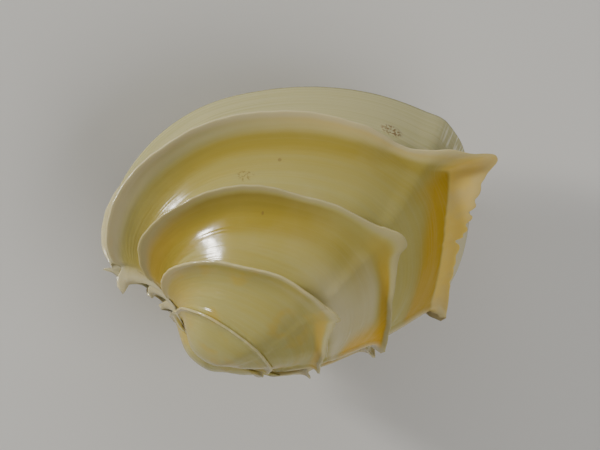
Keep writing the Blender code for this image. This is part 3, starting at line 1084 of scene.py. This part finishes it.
class SHELL_OT_valves(bpy.types.Operator):
    """Grow the two valves and lay them down closed"""

    bl_idname = "shell.valves"
    bl_label = "Valves"

    def execute(self, context):
        settings = context.scene.venus_shell
        law = (settings.swing_rate, settings.hinge_axis, settings.turn_most, settings.turn_swing)
        columns = Outline(law)
        outer = outer_sheet(columns, settings)
        hollow = hollow_sheet(columns, settings)
        material = new_material("frilled shell", glazed_shell, settings)
        tree = growth_tree()
        meshes = {}
        for name, side in (("right_valve", 1.0), ("left_valve", -1.0)):
            values = {
                **dict(zip(LAW, law)),
                "Side": side,
                "Half gap": settings.valve_gap / 2,
                "Ripple height": settings.ripple_height,
                "Rib height": settings.rib_height,
                "Lies turned": LIES_TURNED,
                "Seed": float(settings.seed) + side,
                "Material": material,
            }
            meshes[name] = grown(name, grid_mesh(name, outer, hollow), tree, values)
        points = np.array([vertex.co for mesh in meshes.values() for vertex in mesh.vertices])
        low, high = points.min(axis=0), points.max(axis=0)
        cad_low, cad_high = (Vector(corner) for corner in CAD_BOX)
        middle = (cad_low + cad_high) / 2
        settings.beak = (
            middle.x - (low[0] + high[0]) / 2,
            middle.y - (low[1] + high[1]) / 2,
            cad_low.z - low[2],
        )
        for name, mesh in meshes.items():
            mesh.transform(Matrix.Translation(settings.beak))
            add_piece(mesh, material, name)
        return {"FINISHED"}


class SHELL_OT_ligament(bpy.types.Operator):
    """Lay the ligament along the hinge behind the beaks"""

    bl_idname = "shell.ligament"
    bl_label = "Ligament"

    STATIONS = 60
    SIDES = 40
    TAPER = 0.6
    OFF_HINGE = 0.3
    # Strands round the ligament: how deep, how many, and how far they turn at each station.
    STRANDS = ((0.05, 9, 0.12), (0.025, 5, -0.31))

    def execute(self, context):
        settings = context.scene.venus_shell
        turns = np.linspace(LIGAMENT_FROM, LIGAMENT_TO, self.STATIONS) * ESCUTCHEON_END
        angle, reach = outline(turns)
        line = np.stack([reach * np.cos(np.radians(angle)), reach * np.sin(np.radians(angle)),
                         0 * reach], axis=-1)
        along = np.gradient(line, axis=0)
        along /= np.linalg.norm(along, axis=-1, keepdims=True)
        dorsal = np.stack([along[:, 1], -along[:, 0], 0 * reach], axis=-1)
        bm = bmesh.new()
        rings = []
        for k in range(1, self.STATIONS - 1):
            swell = math.sin(math.pi * k / (self.STATIONS - 1)) ** self.TAPER
            middle = line[k] + dorsal[k] * (self.OFF_HINGE + settings.ligament_high / 2)
            ring = []
            for a in np.linspace(0, 2 * math.pi, self.SIDES, endpoint=False):
                strands = 1 + sum(deep * math.sin(a * many + turned * k)
                                  for deep, many, turned in self.STRANDS)
                out = dorsal[k] * math.cos(a) * settings.ligament_high / 2
                wide = np.array([0, 0, 1]) * math.sin(a) * settings.ligament_wide / 2
                ring.append(bm.verts.new((middle + (out + wide) * swell * strands) * MM))
            rings.append(ring)
        for near, far in zip(rings, rings[1:]):
            for k in range(self.SIDES):
                after = (k + 1) % self.SIDES
                bm.faces.new([near[k], near[after], far[after], far[k]])
        bm.faces.new(rings[0])
        bm.faces.new(rings[-1])
        bmesh.ops.recalc_face_normals(bm, faces=bm.faces[:])
        mesh = into_mesh(bm, bpy.data.meshes.new("ligament"))
        mesh.transform(Matrix.Translation(settings.beak) @ Euler(LIES_TURNED).to_matrix().to_4x4())
        material = new_material("dried ligament", dried_ligament, settings)
        add_piece(mesh, material, "ligament")
        return {"FINISHED"}


class SHELL_OT_stage(bpy.types.Operator):
    """Set the floor, the lights and the camera"""

    bl_idname = "shell.stage"
    bl_label = "Stage"

    # The camera is tipped and yawed off the valves' own face, and looks at a point to the right of
    # the beak and above it.
    CAMERA_TIPPED = math.radians(6.6)
    CAMERA_YAWED = math.radians(8.5)
    CAMERA_FAR = 0.6
    VIEW_WIDE = 0.066
    VIEW_MIDDLE = (0.010725, 0.01221)

    # Each light's name, its place to the right, up and towards the camera, its power in watts,
    # its size and its colour.
    LIGHTS = (
        ("key", (-0.465, 0.205, 0.28), 3.3, 0.075, (1.0, 0.98, 0.94)),
        ("fill", (0.34, -0.30, 0.26), 1.7, 0.60, (1.0, 0.98, 0.95)),
        ("back", (0.02, 0.34, 0.12), 0.6, 0.35, (1.0, 1.0, 1.0)),
    )
    SURROUND = {"Color": (0.9, 0.92, 0.95, 1.0), "Strength": 0.24}
    FLOOR_REACH = 0.6

    def add_camera(self, context, target, view):
        camera = add_object("camera", bpy.data.cameras.new("camera"))
        camera.data.lens = camera.data.sensor_width * self.CAMERA_FAR / self.VIEW_WIDE
        camera.matrix_world = Matrix.Translation(target + view.col[2] * self.CAMERA_FAR) @ view.to_4x4()
        context.scene.camera = camera

    def add_lights(self, context, target, view):
        """Area lights that face the target. Only the key light is reflected in the glaze."""
        for name, place, power, size, tone in self.LIGHTS:
            lamp = bpy.data.lights.new(name, "AREA")
            lamp.energy = power
            lamp.size = size
            lamp.color = tone
            light = add_object(name, lamp)
            light.visible_glossy = name == "key"
            light.location = target + view @ Vector(place)
            light.rotation_euler = (target - light.location).to_track_quat("-Z", "Y").to_euler()
        world = bpy.data.worlds.new("studio")
        world.use_nodes = True
        for name, value in self.SURROUND.items():
            world.node_tree.nodes["Background"].inputs[name].default_value = value
        context.scene.world = world

    def add_floor(self, context):
        bm = bmesh.new()
        bmesh.ops.create_grid(bm, x_segments=1, y_segments=1, size=self.FLOOR_REACH)
        mesh = into_mesh(bm, bpy.data.meshes.new("floor"))
        mesh.transform(Matrix.Translation((0, 0, CAD_BOX[0][2])))
        settings = context.scene.venus_shell
        mesh.materials.append(new_material("pale floor", pale_floor, settings))
        add_object("floor", mesh)

    def execute(self, context):
        lies = Euler(LIES_TURNED).to_matrix()
        tip, yaw = self.CAMERA_TIPPED, self.CAMERA_YAWED
        right = lies @ Vector((math.cos(yaw), 0, math.sin(yaw)))
        up = lies @ Vector((0, math.cos(tip), math.sin(tip)))
        towards = right.cross(up).normalized()
        view = Matrix((right, towards.cross(right), towards)).transposed()
        target = Vector(context.scene.venus_shell.beak) + view @ Vector((*self.VIEW_MIDDLE, 0))
        self.add_camera(context, target, view)
        self.add_lights(context, target, view)
        self.add_floor(context)
        return {"FINISHED"}


class SHELL_PT_panel(bpy.types.Panel):
    """The shell's pieces and sizes"""

    bl_idname = "SHELL_PT_panel"
    bl_label = "Venus clam shell"
    bl_space_type = "VIEW_3D"
    bl_region_type = "UI"
    bl_category = "Shell"

    def draw(self, context):
        settings = context.scene.venus_shell
        for maker in MAKERS:
            self.layout.operator(maker.bl_idname)
        for name in settings.bl_rna.properties.keys():
            if name not in ("rna_type", "name"):
                self.layout.prop(settings, name)


MAKERS = (SHELL_OT_valves, SHELL_OT_ligament, SHELL_OT_stage)
CLASSES = (VenusShellSettings, *MAKERS, SHELL_PT_panel)


def register():
    for cls in CLASSES:
        bpy.utils.register_class(cls)
    bpy.types.Scene.venus_shell = PointerProperty(type=VenusShellSettings)


def unregister():
    del bpy.types.Scene.venus_shell
    for cls in reversed(CLASSES):
        bpy.utils.unregister_class(cls)


def main():
    register()
    bpy.ops.shell.valves()
    bpy.ops.shell.ligament()
    bpy.ops.shell.stage()


if __name__ == "__main__":
    main()
